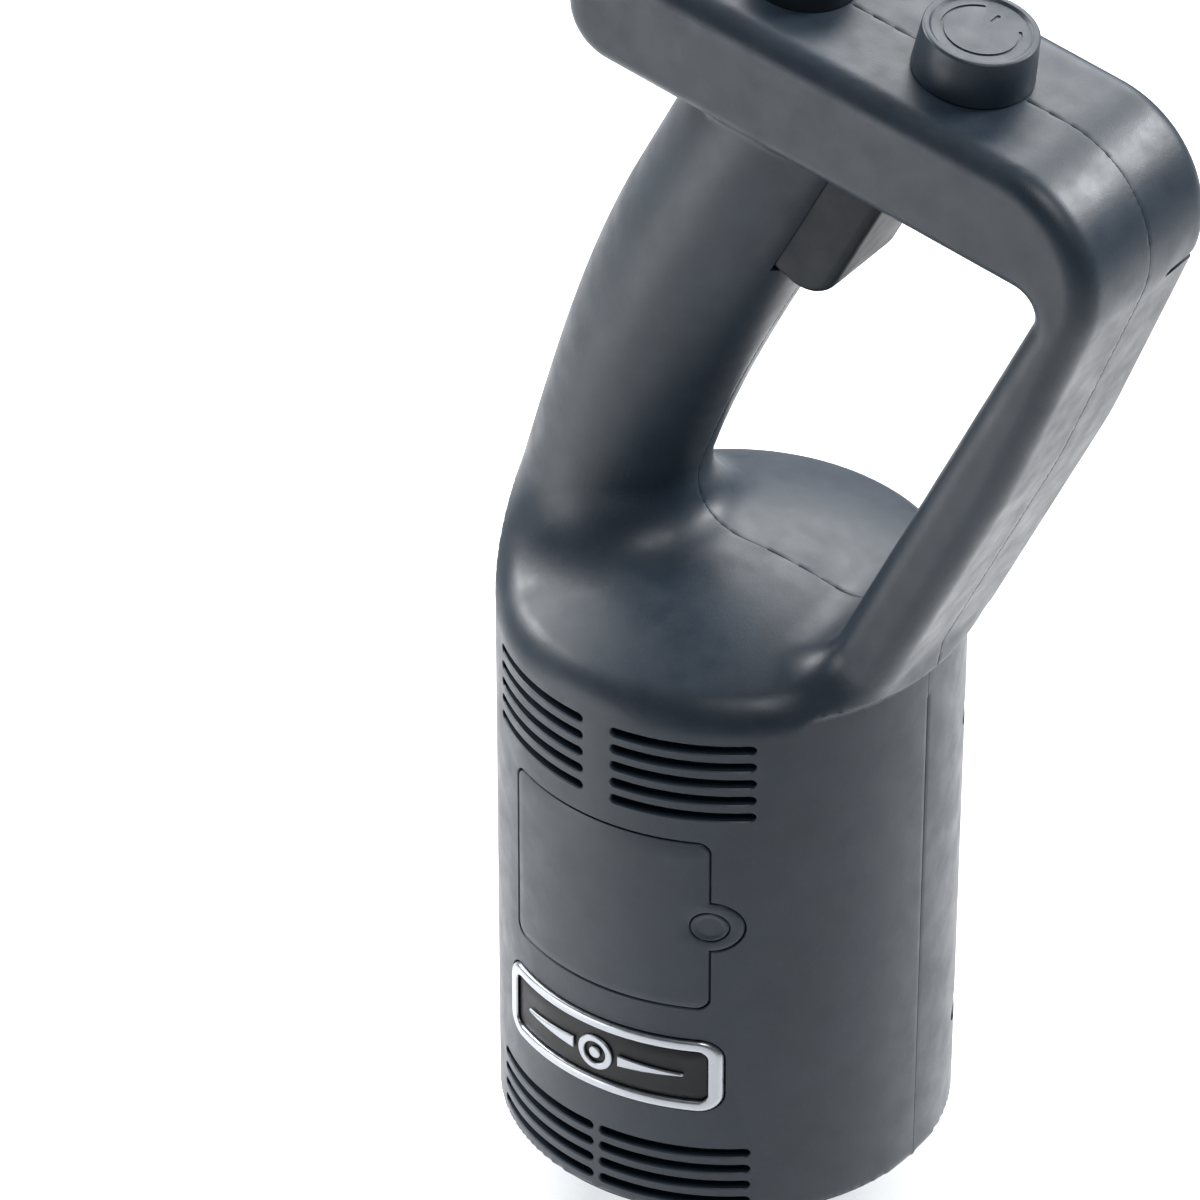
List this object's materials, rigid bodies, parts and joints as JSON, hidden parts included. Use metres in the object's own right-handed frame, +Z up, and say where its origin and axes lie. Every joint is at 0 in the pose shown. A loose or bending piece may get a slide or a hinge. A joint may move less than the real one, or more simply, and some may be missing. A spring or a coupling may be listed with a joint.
{
  "type": "immersion blender",
  "caption": "Commercial hand-held stick blender: motor unit with a closed loop handle, speed dial, lock button and trigger, and a detachable steel shaft with bell guard and blade.",
  "frame": {"origin": "on the drive axis at the height of the middle of the hand grip, where the hand holds the tool", "axes": "+Z up along the drive axis from the blade to the handle, +X in the plane of the handle towards its front strut, -Y towards the side that carries the badge"},
  "size_m": [0.1654, 0.1105, 0.707],
  "materials": {
    "slate_plastic": "matte slate, fine moulded grain",
    "black_plastic": "satin black",
    "stainless": "brushed, lightly scratched",
    "aluminium": "machined",
    "lamination": "stacked steel sheet",
    "copper": "enamelled copper wire and bars",
    "brass": "drawn",
    "carbon": "pressed carbon",
    "rubber": "matt",
    "board_green": "solder-masked board",
    "badge_silver": "satin silver",
    "badge_black": "gloss black"
  },
  "bodies": {
    "motor_unit": {"front_shell": "slate_plastic", "rear_shell": "slate_plastic", "front_brush_cover": "slate_plastic", "rear_brush_cover": "slate_plastic", "front_cover_screw": "slate_plastic", "rear_cover_screw": "slate_plastic", "badge_frame": "badge_silver", "badge_plate": "badge_black", "badge_emblem": "badge_silver", "shell_screw_1": "stainless", "shell_screw_2": "stainless", "shell_screw_3": "stainless", "shell_screw_4": "stainless", "shell_screw_5": "stainless", "shell_screw_6": "stainless", "shell_screw_7": "stainless", "shell_screw_8": "stainless", "shell_screw_9": "stainless", "potentiometer": "black_plastic", "lock_spring": "stainless", "lock_switch": "black_plastic", "trigger_switch": "black_plastic", "trigger_spring": "stainless", "cord_gland": "rubber", "control_board": "board_green", "field_core": "lamination", "field_coil_left": "copper", "field_coil_right": "copper", "upper_bracket": "aluminium", "upper_bearing": "stainless", "lower_bearing": "stainless", "motor_plate": "aluminium", "front_brush_holder": "brass", "rear_brush_holder": "brass", "front_carbon_brush": "carbon", "rear_carbon_brush": "carbon", "steel_housing": "stainless", "neck_collar": "black_plastic"},
    "trigger_unit": {"trigger": "black_plastic"},
    "lock_cap": {"lock_button": "black_plastic"},
    "speed_dial": {"speed_knob": "slate_plastic", "potentiometer_shaft": "aluminium"},
    "rotor": {"armature_shaft": "stainless", "armature_core": "lamination", "winding_head_upper": "copper", "winding_head_lower": "copper", "commutator": "copper", "cooling_fan": "black_plastic", "drive_coupling": "stainless"},
    "shaft_unit": {"shaft_hub": "aluminium", "hub_bearing": "stainless", "shaft_tube": "stainless", "bell_guard": "stainless", "lower_bushing": "brass", "shaft_seal": "rubber"},
    "ring": {"lock_ring": "black_plastic"},
    "blade_unit": {"driven_coupling": "black_plastic", "drive_shaft": "stainless", "blade": "stainless", "blade_nut": "stainless"}
  },
  "joints": [
    {"name": "trigger_press", "type": "slide", "parent": "motor_unit", "child": "trigger_unit", "axis": [-0.8934, 0, 0.4493], "range_m": [0, 0.005], "stiffness_N_per_m": 400, "springref_m": -0.004, "deforming": ["trigger_spring"]},
    {"name": "lock_button_press", "type": "slide", "parent": "motor_unit", "child": "lock_cap", "axis": [-0.1685, 0, -0.9857], "range_m": [0, 0.003], "stiffness_N_per_m": 600, "springref_m": -0.003, "deforming": ["lock_spring"]},
    {"name": "speed_knob_turn", "type": "hinge", "parent": "motor_unit", "child": "speed_dial", "pos_m": [0.0624, 0, 0.08247], "axis": [0.1685, 0, 0.9857], "range_deg": [-135, 135]},
    {"name": "armature_spin", "type": "hinge", "parent": "motor_unit", "child": "rotor", "pos_m": [0, 0, -0.18], "axis": [0, 0, 1], "continuous": true},
    {"name": "shaft_release", "type": "slide", "parent": "motor_unit", "child": "shaft_unit", "axis": [0, 0, -1], "range_m": [0, 0.03]},
    {"name": "lock_ring_turn", "type": "hinge", "parent": "shaft_unit", "child": "ring", "pos_m": [0, 0, -0.33], "axis": [0, 0, 1], "range_deg": [0, 45]},
    {"name": "blade_spin", "type": "hinge", "parent": "shaft_unit", "child": "blade_unit", "pos_m": [0, 0, -0.59], "axis": [0, 0, 1], "continuous": true}
  ],
  "couplings": [
    {"joint": "blade_spin", "follows": "armature_spin", "ratio": 1}
  ]
}
